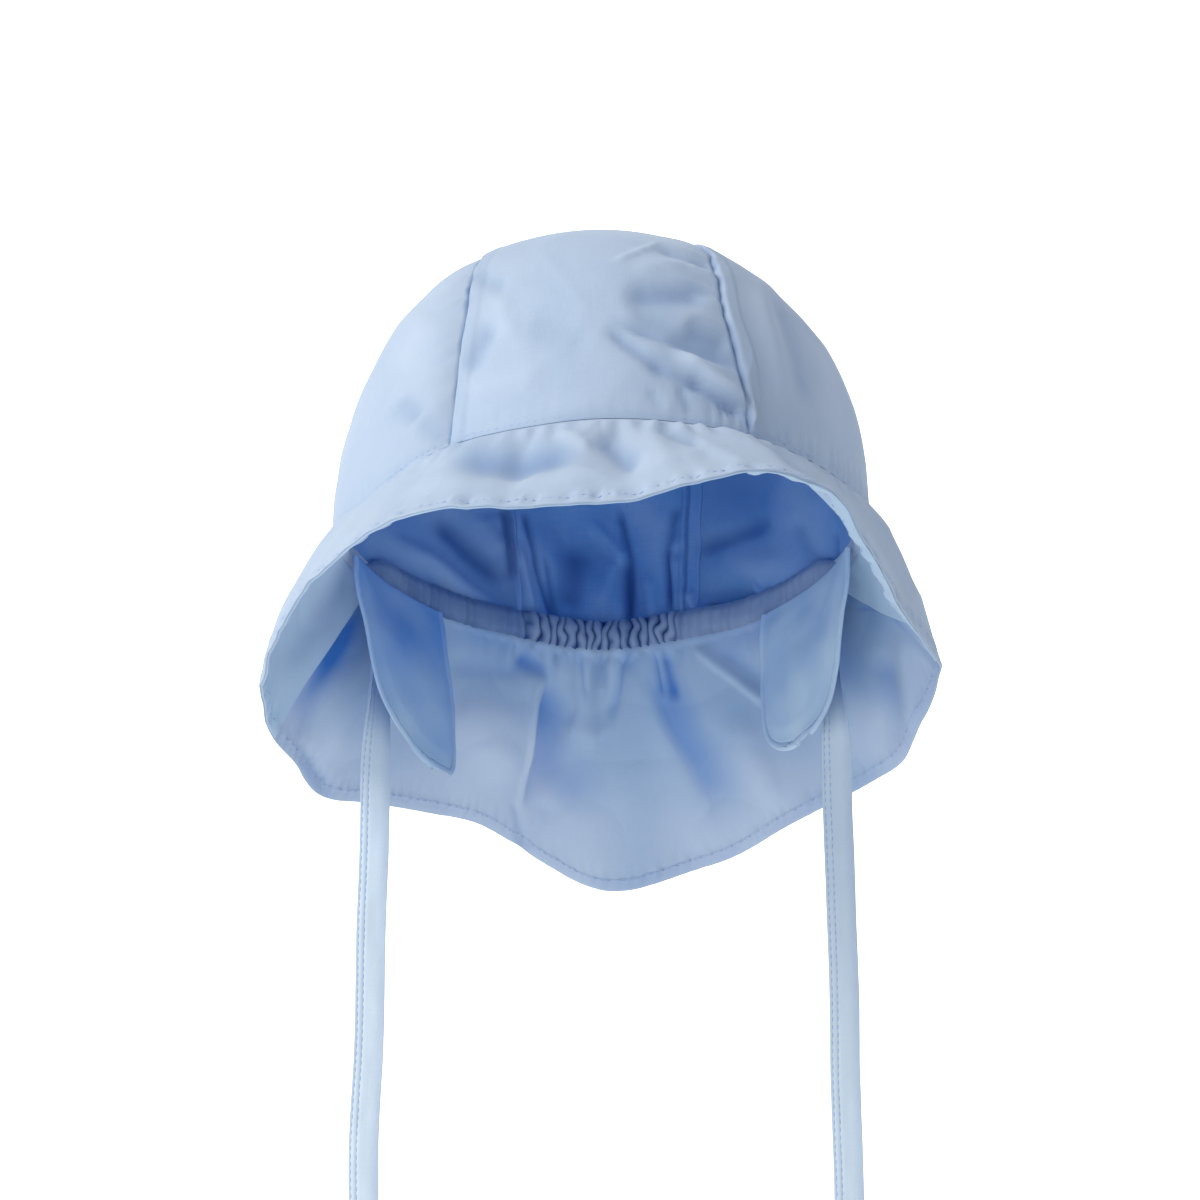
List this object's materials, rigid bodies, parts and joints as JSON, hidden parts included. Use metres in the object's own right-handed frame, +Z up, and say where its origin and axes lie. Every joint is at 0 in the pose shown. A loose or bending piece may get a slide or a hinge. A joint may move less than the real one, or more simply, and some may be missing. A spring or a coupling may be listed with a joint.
{
  "type": "flap sun hat",
  "caption": "Toddler's cotton sun hat: panelled dome crown, soft flared brim, neck flap with gathered nape, hanging ear flaps and two flat ties.",
  "frame": {"origin": "centre of the head opening, where crown, brim and neck flap are sewn together, level with a wearer's brow line", "axes": "+Z up as worn, -Y out of the wearer's brow, +X to the wearer's left; the opening's plane is tilted 13.5 degrees so that the front is higher than the nape"},
  "size_m": [0.1969, 0.2339, 0.3322],
  "materials": {
    "crown_cotton": "matt light blue cotton poplin, single cloth with princess seams and topstitching",
    "brim_cotton": "matt light blue cotton poplin, two cloths with a topstitched edge",
    "flap_cotton": "matt light blue cotton poplin, single cloth with a narrow puckered hem",
    "casing_cotton": "matt blue cotton band, ruched over elastic at the nape",
    "ear_flap_cotton": "matt blue cotton poplin, two cloths with an edge seam",
    "tie_cotton": "matt light blue folded cotton strip with one row of topstitching"
  },
  "bodies": {
    "root": {"crown_centre": "crown_cotton", "crown_side_left": "crown_cotton", "crown_side_right": "crown_cotton", "brim": "brim_cotton", "neck_flap": "flap_cotton", "nape_casing": "casing_cotton", "ear_flap_left": "ear_flap_cotton", "ear_flap_right": "ear_flap_cotton", "tie_left": "tie_cotton", "tie_right": "tie_cotton"}
  },
  "joints": []
}
